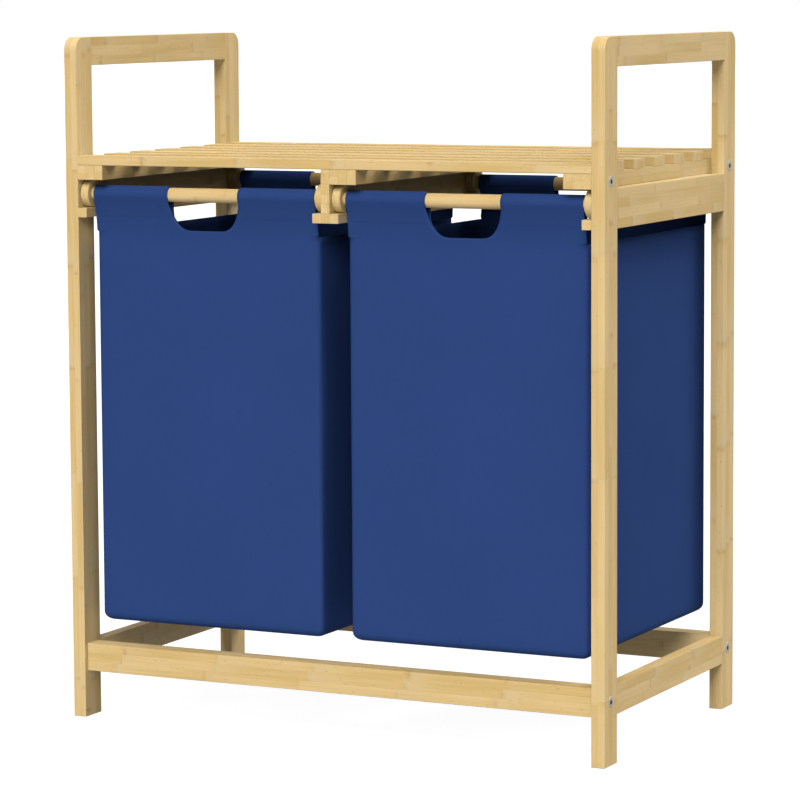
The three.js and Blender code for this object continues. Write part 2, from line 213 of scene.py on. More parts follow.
def place_piece(name: str, surface: Surface, material: bpy.types.Material, body: str,
                nodes: list[str], flat_shade: bool = True) -> bpy.types.Object:
    """Makes a Blender object of a surface and lets it ride on its body.

    Args:
        name: Name of the piece.
        surface: The mesh, already in its place.
        material: Its finish.
        body: The body that it moves with.
        nodes: The solids that it stands for.
        flat_shade: Whether large faces keep their own normal beside rounded edges.

    Returns:
        The new object.
    """
    mesh = bpy.data.meshes.new(name)
    mesh.from_pydata(surface.points.tolist(), [], surface.faces)
    mesh.polygons.foreach_set("use_smooth", np.ones(len(mesh.polygons), dtype=bool))
    for mark, values in surface.marks.items():
        kind, key = ("FLOAT", "value") if values.ndim == 1 else ("FLOAT_VECTOR", "vector")
        layer = mesh.attributes.new(mark, kind, "POINT")
        layer.data.foreach_set(key, values.astype(np.float32).ravel())
    if surface.cloth is not None:
        layer = mesh.uv_layers.new(name="cloth")
        layer.data.foreach_set("uv", surface.cloth.astype(np.float32).ravel())
    mesh.update()
    piece = bpy.data.objects.new(name, mesh)
    bpy.context.scene.collection.objects.link(piece)
    piece.data.materials.append(material)
    if flat_shade:
        weigh = piece.modifiers.new("flat faces", "WEIGHTED_NORMAL")
        weigh.weight = 100
    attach(piece, body)
    if nodes:
        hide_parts(*nodes)
    log.info("%s: %d points on %s", name, len(surface.points), body)
    return piece


@dataclass(frozen=True)
class Wire:
    """A value on its way from one node to others. Arithmetic on it adds Math nodes."""

    writer: "NodeWriter"
    socket: bpy.types.NodeSocket

    def __add__(self, other: "Value") -> "Wire":
        """The sum of both."""
        return self.writer.math("ADD", self, other)

    def __sub__(self, other: "Value") -> "Wire":
        """This less the other."""
        return self.writer.math("SUBTRACT", self, other)

    def __rsub__(self, other: float) -> "Wire":
        """A plain number less this."""
        return self.writer.math("SUBTRACT", other, self)

    def __mul__(self, other: "Value") -> "Wire":
        """The product of both."""
        return self.writer.math("MULTIPLY", self, other)

    def __truediv__(self, other: "Value") -> "Wire":
        """This over the other."""
        return self.writer.math("DIVIDE", self, other)


Value = float | Wire


class NodeWriter:
    """Writes the nodes of one material or node group, a line of arithmetic at a time."""

    def __init__(self, tree: bpy.types.NodeTree) -> None:
        """Starts on an empty node tree."""
        self.tree = tree

    def node(self, kind: str, **settings: object) -> bpy.types.Node:
        """Adds a node.

        Args:
            kind: Blender's name for it.
            settings: Its properties.

        Returns:
            The node.
        """
        made = self.tree.nodes.new(kind)
        for key, value in settings.items():
            setattr(made, key, value)
        return made

    def put(self, socket: bpy.types.NodeSocket, value: object) -> None:
        """Links a wire to a socket, or writes a plain value into it.

        Args:
            socket: The input.
            value: A wire, a number or a colour.
        """
        if isinstance(value, Wire):
            self.tree.links.new(value.socket, socket)
        else:
            socket.default_value = value

    def fill(self, node: bpy.types.Node, **values: object) -> bpy.types.Node:
        """Puts values into a node's inputs.

        Args:
            node: The node.
            values: Wires, numbers or colours by the input's name, with _ for a space.

        Returns:
            The same node.
        """
        for key, value in values.items():
            self.put(node.inputs[key.replace("_", " ")], value)
        return node

    def fed(self, kind: str, *values: object, **settings: object) -> tuple[Wire, ...]:
        """Adds a node and puts values into its inputs in their order.

        Args:
            kind: Blender's name for the node.
            values: Wires, numbers or colours.
            settings: The node's properties.

        Returns:
            All its outputs.
        """
        made = self.node(kind, **settings)
        for socket, value in zip(made.inputs, values):
            self.put(socket, value)
        return tuple(Wire(self, socket) for socket in made.outputs)

    def read(self, kind: str, output: str, **settings: object) -> Wire:
        """One output of a new node that has no inputs to fill."""
        return Wire(self, self.node(kind, **settings).outputs[output])

    def mark(self, name: str, output: str = "Fac") -> Wire:
        """What a surface's mark holds at each point."""
        return self.read("ShaderNodeAttribute", output, attribute_name=name)

    def math(self, operation: str, *values: Value) -> Wire:
        """One scalar operation on one, two or three values."""
        return self.fed("ShaderNodeMath", *values, operation=operation)[0]

    def vector(self, x: Value, y: Value, z: Value) -> Wire:
        """A vector from three values."""
        return self.fed("ShaderNodeCombineXYZ", x, y, z)[0]

    def split(self, vector: Wire) -> tuple[Wire, ...]:
        """The three values of a vector."""
        return self.fed("ShaderNodeSeparateXYZ", vector)

    def white(self, vector: Wire) -> tuple[Wire, ...]:
        """A random value and a random colour for each whole place."""
        return self.fed("ShaderNodeTexWhiteNoise", vector, noise_dimensions="3D")

    def noise(self, vector: Wire, scale: float, detail: float) -> Wire:
        """Smooth noise between 0 and 1."""
        made = self.fill(self.node("ShaderNodeTexNoise"), Vector=vector, Scale=scale, Detail=detail)
        return Wire(self, made.outputs[0])

    def ramp(self, value: Value, low: float, high: float, at_low: float = 0.0, at_high: float = 1.0) -> Wire:
        """Maps a value smoothly from one range to another, held at the ends."""
        limits = (low, high, at_low, at_high)
        return self.fed("ShaderNodeMapRange", value, *limits, interpolation_type="SMOOTHSTEP")[0]

    def mix(self, share: Value, first: object, second: object) -> Wire:
        """Mixes two colours.

        Args:
            share: Share of the second colour.
            first: A wire or a colour.
            second: A wire or a colour.

        Returns:
            The mixed colour.
        """
        made = self.node("ShaderNodeMix", data_type="RGBA")
        for place, value in ((0, share), (6, first), (7, second)):
            self.put(made.inputs[place], value)
        return Wire(self, made.outputs[2])

    def bump(self, height: Value, distance: float, strength: float) -> Wire:
        """A normal from a height."""
        made = self.fill(self.node("ShaderNodeBump"), Height=height, Distance=distance, Strength=strength)
        return Wire(self, made.outputs[0])

    def group(self, tree: bpy.types.NodeTree, **values: object) -> bpy.types.Node:
        """Places a node group, with wires, numbers or colours for its inputs."""
        return self.fill(self.node("ShaderNodeGroup", node_tree=tree), **values)

    def give(self, **values: Wire) -> None:
        """Puts out the group's results by name."""
        self.fill(self.node("NodeGroupOutput"), **values)


def new_group(name: str, colours: tuple[str, ...], values: tuple[str, ...],
              results: tuple[str, ...]) -> tuple[bpy.types.NodeTree, NodeWriter, dict[str, Wire]]:
    """An empty shader node group that is given a place, colours and plain values.

    Args:
        name: Name of the group.
        colours: Names of its colours.
        values: Names of its plain values.
        results: Names of what it puts out, plain values apart from Color.

    Returns:
        The group, a writer on its nodes, and what it is given, by name.
    """
    tree = bpy.data.node_groups.new(name, "ShaderNodeTree")
    inputs = [("Place", "Vector"), *((key, "Color") for key in colours), *((key, "Float") for key in values)]
    for key, kind in inputs:
        tree.interface.new_socket(key, in_out="INPUT", socket_type=f"NodeSocket{kind}")
    for key in results:
        kind = "Color" if key == "Color" else "Float"
        tree.interface.new_socket(key, in_out="OUTPUT", socket_type=f"NodeSocket{kind}")
    w = NodeWriter(tree)
    given = {socket.name: Wire(w, socket) for socket in w.node("NodeGroupInput").outputs}
    return tree, w, given


@dataclass(frozen=True)
class BambooPattern:
    """Laminated bamboo: glued strips with knuckles, fibres and specks.

    The place in the board is along, across and through, in metres. Whole strips are the floor of across
    and through over the strip's sizes, and each has a random shade and shift. Knuckles are soft marks at
    even gaps along a strip: the fraction of along over the gap makes the strip pale just past one and
    warm just before the next. Fibres are noise stretched along the board. Rounded long edges, and the
    whole sides of the inner slats, are darkened as painted shade, and glue lines show on the sawn ends.

    Each noise is its scale along the board, its scale across, both per metre, and its detail. A tone is
    what something adds to the wood's shade, and a share is how strongly a mark covers the wood.
    """

    strip_shift: float = 0.05
    knuckle_waver: float = 0.0055
    past_waver: float = 0.04
    waves: Noise = (30.0, 220.0, 2.0)
    patches: Noise = (60.0, 130.0, 1.0)
    fibres: Noise = (9.0, 620.0, 3.0)
    clouds: Noise = (7.0, 70.0, 3.0)
    streaks: Noise = (26.0, 330.0, 2.0)
    specks: Noise = (170.0, 640.0, 1.0)
    strip_tone: float = 0.2
    joint_tone: float = 0.22
    cloud_tone: float = 0.6
    fibre_tone: float = 0.5
    shift_tone: float = 0.08
    streak_share: float = 0.4
    speck_share: float = 0.45
    glue_share: float = 0.035
    sawn_glue_share: float = 0.2
    line_share: float = 0.06
    # painted shade: how far rounded long edges and inner slat sides are darkened to the knuckle colour
    painted_edge_shade_share: float = 0.46
    line_height: float = 0.6
    fibre_height: float = 0.5
    fibre_roughness: float = 0.25

    def group(self) -> bpy.types.NodeTree:
        """The pattern as a node group.

        Returns:
            A group with a colour, a roughness and a height.
        """
        tree, w, given = new_group(
            "laminated bamboo", ("Light", "Dark", "Warm", "Pale", "Knuckle"),
            ("Strip Width", "Strip Depth", "Knuckle Gap", "Roughness", "Edge", "End"),
            ("Color", "Roughness", "Height"))
        along, across, through = w.split(given["Place"])
        wave, patch, fibre, cloud, streak, speck = (
            w.noise(w.vector(along * long, across * cross, through * cross), 1.0, detail)
            for long, cross, detail in (
                self.waves, self.patches, self.fibres, self.clouds, self.streaks, self.specks))
        column = across / given["Strip Width"]
        strip = w.math("FLOOR", column), w.math("FLOOR", through / given["Strip Depth"])
        strip_shade, strip_kind = w.white(w.vector(*strip, 0.5))
        shift_along, shift_tone, _ = w.split(strip_kind)
        place = (along + shift_along * self.strip_shift) / given["Knuckle Gap"]
        joint_shade, joint_kind = w.white(w.vector(*strip, w.math("FLOOR", place)))
        strength = w.split(joint_kind)[1]
        waver, grain = wave - 0.5, fibre - 0.5
        from_joint = w.math("PINGPONG", place, 0.5) * given["Knuckle Gap"] + waver * self.knuckle_waver
        line = w.ramp(from_joint, 0.0002, 0.0016, 1.0, 0.0) * w.ramp(strength, 0.45, 1.0)
        halo = w.ramp(from_joint, 0.0, 0.0062, 1.0, 0.0) * w.ramp(strength, 0.2, 0.95, 0.04, 0.44)
        halo = halo * w.ramp(patch, 0.36, 0.6, 0.2, 1.0)
        past = w.math("FRACT", place + waver * self.past_waver)
        pale = w.ramp(past, 0.0, 0.45, 1.0, 0.0) * w.ramp(strength, 0.0, 0.7, 0.15, 0.75)
        ripe = w.ramp(past, 0.86, 1.0) * w.ramp(strength, 0.0, 0.7, 0.1, 0.5)
        tone = (strip_shade * self.strip_tone + joint_shade * self.joint_tone + cloud * self.cloud_tone
                + grain * self.fibre_tone + shift_tone * self.shift_tone)
        from_glue = w.math("PINGPONG", column, 0.5) * given["Strip Width"]
        glue = w.ramp(from_glue, 0.0001, 0.00045, 1.0, 0.0)
        sawn_glue = w.ramp(from_glue, 0.0001, 0.0009, self.sawn_glue_share, 0.0) * given["End"]
        marks = w.math("MINIMUM", line * self.line_share + halo, 1.0)
        # painted shade on rounded long edges and inner slat sides, together with the real glue lines on sawn
        # ends
        painted_edge_shade_and_glue = w.math("MAXIMUM", given["Edge"] * self.painted_edge_shade_share, sawn_glue)
        streak = w.ramp(streak, 0.6, 0.74) * self.streak_share
        colour = w.mix(w.ramp(tone, 0.28, 0.82), given["Dark"], given["Light"])
        for share, paint in (
                (pale, "Pale"),
                (w.math("MAXIMUM", streak, ripe), "Warm"),
                (w.ramp(speck, 0.68, 0.76) * self.speck_share, "Knuckle"),
                (glue * self.glue_share, "Knuckle"),
                (w.math("MAXIMUM", marks, painted_edge_shade_and_glue), "Knuckle")):
            colour = w.mix(share, colour, given[paint])
        w.give(Color=colour, Roughness=given["Roughness"] + grain * self.fibre_roughness,
               Height=fibre * self.fibre_height - (glue + line * self.line_height))
        return tree


@dataclass(frozen=True)
class WeavePattern:
    """Plain weave: threads that pass over and under each other on the cloth's own flat place.

    A thread's height is the absolute sine of its place across, and on every other cell the warp or the
    weft lies on top. The colour darkens with low height, painted shade between the threads, and noise
    along each thread and slow noise vary the shade, as in dyed yarn.
    """

    bed: float = 0.6
    over: float = 0.4
    yarn_across: float = 1600.0
    yarn_along: float = 40.0
    clouds: float = 9.0
    # painted shade: how much darker the weave is where its threads lie low
    height_tone: float = 0.75
    yarn_tone: float = 0.3
    cloud_tone: float = 0.25

    def group(self) -> bpy.types.NodeTree:
        """The pattern as a node group.

        Returns:
            A group with a colour and a height.
        """
        tree, w, given = new_group("plain weave", ("Yarn", "Hollow"), ("Pitch",), ("Color", "Height"))
        across, up, _ = w.split(given["Place"])
        warp, weft = across / given["Pitch"], up / given["Pitch"]
        cells = w.math("FLOOR", warp) + w.math("FLOOR", weft)
        on_top = w.math("MODULO", w.math("ABSOLUTE", cells), 2.0)
        warp_ridge, weft_ridge = (
            w.math("ABSOLUTE", w.math("SINE", thread * math.pi)) for thread in (warp, weft))
        lying_over = warp_ridge * on_top * self.over + weft_ridge * (1.0 - on_top) * self.over
        height = warp_ridge * weft_ridge * self.bed + lying_over
        yarn = w.noise(w.vector(across * self.yarn_across, up * self.yarn_along, 0.0), 1.0, 2.0)
        cloud = w.noise(given["Place"], self.clouds, 3.0)
        # height darkens the low places as painted shade; the yarn and cloud noise are dye
        shade = height * self.height_tone + yarn * self.yarn_tone + (cloud - 0.5) * self.cloud_tone
        w.give(Color=w.mix(w.ramp(shade, 0.05, 0.85), given["Hollow"], given["Yarn"]), Height=height)
        return tree


def new_material(name: str) -> tuple[bpy.types.Material, NodeWriter, bpy.types.Node]:
    """An empty material with a Principled shader wired to its output.

    Args:
        name: Name of the material.

    Returns:
        The material, a writer on its nodes and its shader.
    """
    material = bpy.data.materials.new(name)
    material.use_nodes = True
    material.node_tree.nodes.clear()
    w = NodeWriter(material.node_tree)
    shader = w.node("ShaderNodeBsdfPrincipled")
    w.fill(w.node("ShaderNodeOutputMaterial"), Surface=Wire(w, shader.outputs[0]))
    return material, w, shader


@dataclass(frozen=True)
class BambooFinish:
    """Clear satin lacquer on laminated bamboo."""

    name: str = "lacquered bamboo"
    light: Colour = (0.80, 0.58, 0.280, 1)
    dark: Colour = (0.655, 0.445, 0.158, 1)
    warm: Colour = (0.74, 0.475, 0.195, 1)
    pale: Colour = (0.73, 0.545, 0.282, 1)
    spread_light: Colour = (0.50, 0.46, 0.33, 1)
    # colour of the knuckle marks, also the colour of the painted edge shade
    knuckle_and_edge_shade: Colour = (0.42, 0.255, 0.075, 1)
    strip_width: float = 0.0102
    strip_depth: float = 0.0075
    knuckle_gap: float = 0.112
    roughness: float = 0.5
    specular: float = 0.3
    coat: float = 0.05
    coat_roughness: float = 0.35
    relief: float = 0.0002
    relief_strength: float = 0.35

    def material(self, group: bpy.types.NodeTree) -> bpy.types.Material:
        """The finish as a material. Light that it passes on to other pieces is muted to spread_light.

        Args:
            group: The laminated bamboo group.

        Returns:
            The material.
        """
        material, w, shader = new_material(self.name)
        # the mark long_edge brings the painted edge shade into the pattern's Edge input
        wood = w.group(
            group, Place=w.mark("grain_place", "Vector"), Light=self.light, Dark=self.dark, Warm=self.warm,
            Pale=self.pale, Knuckle=self.knuckle_and_edge_shade, Strip_Width=self.strip_width, Strip_Depth=self.strip_depth,
            Knuckle_Gap=self.knuckle_gap, Roughness=self.roughness, Edge=w.mark("long_edge"),
            End=w.mark("end_face"))
        colour, roughness, height = (Wire(w, socket) for socket in wood.outputs)
        onward = w.read("ShaderNodeLightPath", "Is Diffuse Ray")
        w.fill(shader, Base_Color=w.mix(onward, colour, self.spread_light), Roughness=roughness,
               Normal=w.bump(height, self.relief, self.relief_strength), Specular_IOR_Level=self.specular,
               Coat_Weight=self.coat, Coat_Roughness=self.coat_roughness)
        return material


@dataclass(frozen=True)
class ClothFinish:
    """Close woven dark blue cloth."""

    name: str = "blue cloth"
    yarn: Colour = (0.031, 0.070, 0.228, 1)
    # dark end of the weave, for its painted shade between threads and for darker yarn
    hollow: Colour = (0.020, 0.046, 0.158, 1)
    pitch: float = 0.0006
    roughness: float = 0.78
    specular: float = 0.02
    relief: float = 0.00012
    relief_strength: float = 0.5

    def material(self, group: bpy.types.NodeTree) -> bpy.types.Material:
        """The finish as a material.

        Args:
            group: The plain weave group.

        Returns:
            The material.
        """
        material, w, shader = new_material(self.name)
        place = w.read("ShaderNodeUVMap", "UV", uv_map="cloth")
        cloth = w.group(group, Place=place, Yarn=self.yarn, Hollow=self.hollow, Pitch=self.pitch)
        colour, height = (Wire(w, socket) for socket in cloth.outputs)
        w.fill(shader, Base_Color=colour, Normal=w.bump(height, self.relief, self.relief_strength),
               Roughness=self.roughness, Specular_IOR_Level=self.specular)
        return material


@dataclass(frozen=True)
class ThreadFinish:
    """Sewing thread in the cloth's blue, painted a little darker as shade, since the raised stitches catch
    more light.
    """

    name: str = "blue thread"
    # painted shade: both colours are a little darker than the cloth's yarn and hollow colours
    colour: Colour = (0.026, 0.060, 0.20, 1)
    dark: Colour = (0.017, 0.040, 0.14, 1)
    twists: float = 2600.0
    relief: float = 0.0001
    roughness: float = 0.6
    specular: float = 0.05

    def material(self) -> bpy.types.Material:
        """The finish as a material, mottled finely by the twist of the thread, darker where that twist's
        relief is low, as painted shade.

        Returns:
            The material.
        """
        material, w, shader = new_material(self.name)
        twist = w.noise(w.read("ShaderNodeTexCoord", "Object"), self.twists, 1.0)
        w.fill(shader, Base_Color=w.mix(w.ramp(twist, 0.35, 0.65), self.dark, self.colour),
               Normal=w.bump(twist, self.relief, 0.4), Roughness=self.roughness,
               Specular_IOR_Level=self.specular)
        return material


@dataclass(frozen=True)
class MetalFinish:
    """Plated or plain metal with a turned surface, painted black as shade where a piece is marked hollow."""

    name: str
    colour: Colour
    dark: Colour
    roughness: float
    # painted shade: the near black that a hollow, such as a bolt's socket, is painted with
    painted_hollow_shade: Colour = (0.012, 0.012, 0.012, 1)
    mottles: float = 900.0
    mottled_roughness: float = 0.15
    turning: float = 3500.0
    relief: float = 0.00005

    def material(self) -> bpy.types.Material:
        """The finish as a material.

        Returns:
            The material.
        """
        material, w, shader = new_material(self.name)
        place = w.read("ShaderNodeTexCoord", "Object")
        mottle = w.noise(place, self.mottles, 3.0)
        plain = w.mix(w.ramp(mottle, 0.3, 0.7), self.dark, self.colour)
        # the hollow mark paints the socket black as shade
        w.fill(shader, Base_Color=w.mix(w.mark("hollow"), plain, self.painted_hollow_shade), Metallic=1.0,
               Roughness=mottle * self.mottled_roughness + self.roughness,
               Normal=w.bump(w.noise(place, self.turning, 1.0), self.relief, 0.2))
        return material


@dataclass(frozen=True)
class Finishes:
    """The materials that the pieces share."""

    bamboo: bpy.types.Material
    cloth: bpy.types.Material
    # the cloth made darker for the bag's inside, as painted shade
    inside_cloth_painted_shade: bpy.types.Material
    thread: bpy.types.Material
    steel: bpy.types.Material
    brass: bpy.types.Material

    @staticmethod
    def make() -> "Finishes":
        """Builds every material once.

        Returns:
            The materials.
        """
        weave = WeavePattern().group()
        # the cloth's colours at about four tenths of their brightness: painted shade for the bag's inside
        inside_cloth_painted_shade = ClothFinish("blue cloth inside painted shade", (0.013, 0.029, 0.095, 1), (0.008, 0.019, 0.065, 1))
        steel = MetalFinish("zinc plated steel", (0.66, 0.64, 0.59, 1), (0.50, 0.48, 0.43, 1), 0.5)
        brass = MetalFinish("brass", (0.72, 0.55, 0.27, 1), (0.5, 0.36, 0.16, 1), 0.35)
        return Finishes(
            bamboo=BambooFinish().material(BambooPattern().group()), cloth=ClothFinish().material(weave),
            inside_cloth_painted_shade=inside_cloth_painted_shade.material(weave), thread=ThreadFinish().material(),
            steel=steel.material(), brass=brass.material())


def wooden(surface: Surface, points: np.ndarray, axes: tuple[int, int, int], corner: np.ndarray,
           number: int) -> Surface:
    """A surface put in its place and marked with its places in the wood.

    Along, across and through are measured from the board's lowest corner. Each board is a different piece
    of wood, so its along starts elsewhere, and its strips are counted on from a number of its own.

    Args:
        surface: The surface, whose faces and marks are kept.
        points: Its points in X, Y, Z.
        axes: The axes that run along, across and through the board.
        corner: The board's lowest corner.
        number: The board's number, which picks its piece of wood.

    Returns:
        The surface, with the mark grain_place in metres.
    """
    strips = BambooFinish()
    strips_on = np.array([7 * strips.strip_width, 3 * strips.strip_depth]) * number
    start = np.append(np.random.default_rng(number).random(), strips_on)
    grain = (points - corner)[:, list(axes)] + start
    return Surface(points, surface.faces, {"grain_place": grain, **surface.marks})


@dataclass
class Boards:
    """The straight boards of the rack: rails, slats, bearers, the runner and the ledges.

    Each lies in a thin seat, so the gap to what it lies against, less than reach, is closed with a lap.
    """

    ease: float = 0.0004
    corner: float = 0.0005
    slat_corner: float = 0.0010
    steps: int = 4
    lap: float = 0.00005
    reach: float = 0.0006
    tenon_shown: float = 0.0068
    handle_wood: int = 300
    lengthways: tuple[str, ...] = (
        *(f"{rail}_{side}" for side in SIDES for rail in (*SIDE_RAILS, "channel_ledge", "shelf_bearer")),
        "shelf_bearer_middle", "runner_web", "runner_flange")
    crosswise: tuple[str, ...] = (*(f"cross_rail_{end}" for end in ENDS), *SLATS)
    # inner slats, whose whole long sides are darkened with painted edge shade
    shade_painted_sides: tuple[str, ...] = SLATS[1:]

    def seated(self, name: str) -> np.ndarray:
        """A board's box, grown across the thin seat to what it lies against.

        Args:
            name: The board's node.

        Returns:
            Lowest and highest corner.
        """
        box = box_of(name)
        low, high = box
        inner_face = box_of("post_front_right")[0, 0]
        web_side = box_of("runner_web")[1, 0]
        flange_top = box_of("runner_flange")[1, 2]
        seats = (
            (high, 0, inner_face, self.lap), (low, 0, -inner_face, -self.lap),
            (high, 2, box_of(SLATS[0])[0, 2], self.lap), (low, 0, web_side, -self.lap))
        for corner, axis, seat, lap in seats:
            if abs(corner[axis] - seat) < self.reach:
                corner[axis] = seat + lap
        if abs(low[2] - flange_top) < self.reach and high[0] - low[0] < 2 * web_side + self.reach:
            low[2] = flange_top - self.lap
        return box

    def board(self, name: str, number: int) -> Surface:
        """One board as an outline with eased corners, carried along its length.

        Args:
            name: The board's node.
            number: Its number, which picks its piece of wood.

        Returns:
            The board's surface.
        """
        low, high = self.seated(name)
        axis = Axis.Y if name in self.lengthways else Axis.X
        first, second = (axis.value + 1) % 3, (axis.value + 2) % 3
        hidden = self.tenon_shown if name.startswith(SIDE_RAILS) else 0.0
        size = high - low
        corner = self.slat_corner if name in SLATS else self.corner
        outline, normals = rounded_outline(size[[first, second]], (corner,) * 4, self.steps)
        outline = outline + (low + high)[[first, second]] / 2
        swept = eased_sweep(outline, normals, low[axis.value] + hidden, high[axis.value] - hidden, self.ease)
        wide, thin = (first, second) if size[first] >= size[second] else (second, first)
        # the inner slats' long sides get the full painted edge shade, as their rounded edges do
        if name in self.shade_painted_sides:
            across = np.abs(normals[:, (wide - axis.value - 1) % 3])
            sides = np.tile(across, len(swept.points) // len(across)) * (1 - swept.marks["end_face"])
            swept.marks["long_edge"] = np.maximum(swept.marks["long_edge"], sides)
        return wooden(swept, to_axis(swept.points, axis), (axis.value, wide, thin), low, number)

    def build(self, finishes: Finishes) -> None:
        """Makes every board.

        Args:
            finishes: The shared materials.
        """
        for number, name in enumerate(self.lengthways + self.crosswise, start=1):
            further = self.handle_wood if name.startswith("handle_rail") else 0
            surface = self.board(name, number + further)
            place_piece(f"{name}_board", surface, finishes.bamboo, RACK, [name])


@dataclass
class Posts:
    """The four posts, each with a large round at its outer top corner."""

    ease: float = 0.0005
    corner: float = 0.0006
    top_radius: float = 0.014
    steps: int = 10
    wood: dict[str, int] = field(default_factory=lambda: {
        "front_left": 72, "back_left": 57, "front_right": 46, "back_right": 87})

    def post(self, name: str, at_front: bool, number: int) -> Surface:
        """One post as its side outline, carried through its thickness.

        Args:
            name: The post's node.
            at_front: Whether it is a front post.
            number: Its number, which picks its piece of wood.

        Returns:
            The post's surface.
        """
        low, high = box_of(name)
        small = self.corner
        at_top = (small, self.top_radius) if at_front else (self.top_radius, small)
        outline, normals = rounded_outline((high - low)[1:], (*at_top, small, small), self.steps)
        swept = eased_sweep(outline + (low + high)[1:] / 2, normals, low[0], high[0], self.ease)
        points = to_axis(swept.points, Axis.X)
        sawn = Surface(points, swept.faces, {"end_face": points[:, 2] < low[2] + HAIR})
        return wooden(sawn, points, (2, 1, 0), low, number)

    def build(self, finishes: Finishes) -> None:
        """Makes the four posts.

        Args:
            finishes: The shared materials.
        """
        for side in SIDES:
            for end in ENDS:
                name = f"post_{end}_{side}"
                surface = self.post(name, end == "front", self.wood[f"{end}_{side}"])
                place_piece(f"{name}_board", surface, finishes.bamboo, RACK, [name])


@dataclass
class Fasteners:
    """Bolts with hexagon sockets, their threaded inserts and the stop pegs."""

    head_radius: float = 0.0061
    head_thick: float = 0.002
    chamfer: float = 0.0005
    socket_across: float = 0.0044
    socket_deep: float = 0.00026
    socket_lead: float = 0.00012
    shank_radius: float = 0.0028
    dome_degrees: float = 75.0
    dome_rise: float = 0.5
    segments: int = 48
    first_wood: int = 60

    def head(self) -> Surface:
        """A bolt head with its outer face at zero on the third axis.

        The rim is a circle and the socket a hexagon, whose distance from the middle is half its width
        across flats over the cosine of the angle from the nearest flat.

        Returns:
            A closed surface.
        """
        turn = np.arange(self.segments) * 2 * math.pi / self.segments
        sixth = math.pi / 3
        flat = self.socket_across / 2 / np.cos((turn + sixth / 2) % sixth - sixth / 2)
        rim = np.full(self.segments, self.head_radius)
        outside = [
            (rim - self.chamfer / 2, -self.head_thick), (rim, -self.head_thick + self.chamfer / 2),
            (rim, -self.chamfer), (rim - self.chamfer / 3, -self.chamfer / 3), (rim - self.chamfer, 0.0),
            (flat + self.socket_lead, 0.0)]
        inside = [(flat, -self.socket_lead), (flat, -self.socket_deep)]
        radius, place = zip(*outside, *inside)
        shape = turned(np.stack(radius), np.array(place), self.segments)
        # the socket's faces are marked hollow, for painted black shade
        hollow = np.repeat(np.arange(len(place)) >= len(outside), self.segments)
        return Surface(shape.points, shape.faces, {"hollow": hollow})

    def bolt(self, name: str, outward: int) -> Surface:
        """A bolt in its place, its head on the side given.

        Args:
            name: The bolt's node.
            outward: 1 where the head looks to +X, -1 where it looks to -X.

        Returns:
            Head and shank, not welded to each other.
        """
        low, high = box_of(name)
        ends = np.array([low[0] - high[0], -self.head_thick])
        shank = turned(np.full(2, self.shank_radius), ends, self.segments // 2)
        head = self.head()
        faces = head.faces + [[number + len(head.points) for number in face] for face in shank.faces]
        points = to_axis(np.vstack([head.points, shank.points]) * (outward, 1, outward), Axis.X)
        points += (high[0] if outward > 0 else low[0], *(low + high)[1:] / 2)
        hollow = np.append(head.marks["hollow"], np.zeros(len(shank.points)))
        return Surface(points, faces, {"hollow": hollow})

    def peg(self, name: str, number: int) -> Surface:
        """A stop peg with a rounded top, a flat ellipse's arc.

        Args:
            name: The peg's node.
            number: Its number, which picks its piece of wood.

        Returns:
            A closed surface.
        """
        low, high = box_of(name)
        full = (high[0] - low[0]) / 2
        turn = np.linspace(0, math.radians(self.dome_degrees), RIM_POINTS)
        radius = np.append(full, full * np.cos(turn))
        place = np.append(low[2], high[2] - full * self.dome_rise * (1 - np.sin(turn)))
        shape = turned(radius, place, self.segments // 2)
        return wooden(shape, shape.points + (*(low + high)[:2] / 2, 0.0), (2, 0, 1), low, number)

    def build(self, finishes: Finishes) -> None:
        """Makes the pegs and bolts, and dresses the inserts.

        Args:
            finishes: The shared materials.
        """
        wood = itertools.count(self.first_wood)
        for side, outward in zip(SIDES, (-1, 1)):
            for place in ("outer", "inner"):
                name = f"stop_peg_{side}_{place}"
                surface = self.peg(name, next(wood))
                place_piece(f"{name}_turned", surface, finishes.bamboo, RACK, [name])
            for end, level in itertools.product(ENDS, ("upper", "lower")):
                name = f"bolt_{level}_{end}_{side}"
                surface = self.bolt(name, outward)
                place_piece(f"{name}_steel", surface, finishes.steel, RACK, [name])
                insert = bpy.data.objects[f"insert_{level}_{end}_{side}"]
                insert.data.materials.clear()
                insert.data.materials.append(finishes.brass)
                log.info("%s: dressed as it is", insert.name)


@dataclass
class Rollers:
    """The rods that carry the bags, and the wheels at their ends."""

    wheel_ease: float = 0.0012
    rod_ease: float = 0.0008
    segments: int = 72
    first_wood: int = 70

    def bar(self, name: str, ease: float, axes: tuple[int, int, int], number: int) -> Surface:
        """A turned bar along X with quarter-round rims.

        Args:
            name: Its node.
            ease: Radius of the rims.
            axes: The axes along, across and through its wood.
            number: Its number, which picks its piece of wood.

        Returns:
            A closed surface.
        """
        low, high = box_of(name)
        turn = np.linspace(0, QUARTER, RIM_POINTS)
        inner = (high[2] - low[2]) / 2 - ease
        radius = inner + ease * np.concatenate([np.sin(turn), np.cos(turn)])
        rise = low[0] + ease - ease * np.cos(turn)
        fall = high[0] - ease + ease * np.sin(turn)
        shape = turned(radius, np.concatenate([rise, fall]), self.segments)
        points = to_axis(shape.points, Axis.X) + (0.0, *(low + high)[1:] / 2)
        return wooden(shape, points, axes, low, number)

    def build(self, finishes: Finishes) -> None:
        """Makes four rods and eight wheels.

        Args:
            finishes: The shared materials.
        """
        wood = itertools.count(self.first_wood)
        for bag, end in itertools.product(SIDES, ENDS):
            start = f"{bag}_bag_{end}"
            pieces = [(f"{start}_rod", self.rod_ease, (0, 1, 2))]
            pieces += [(f"{start}_wheel_{side}", self.wheel_ease, (2, 1, 0)) for side in SIDES]
            for name, ease, axes in pieces:
                surface = self.bar(name, ease, axes, next(wood))
                place_piece(f"{name}_turned", surface, finishes.bamboo, f"{start}_roller", [name])


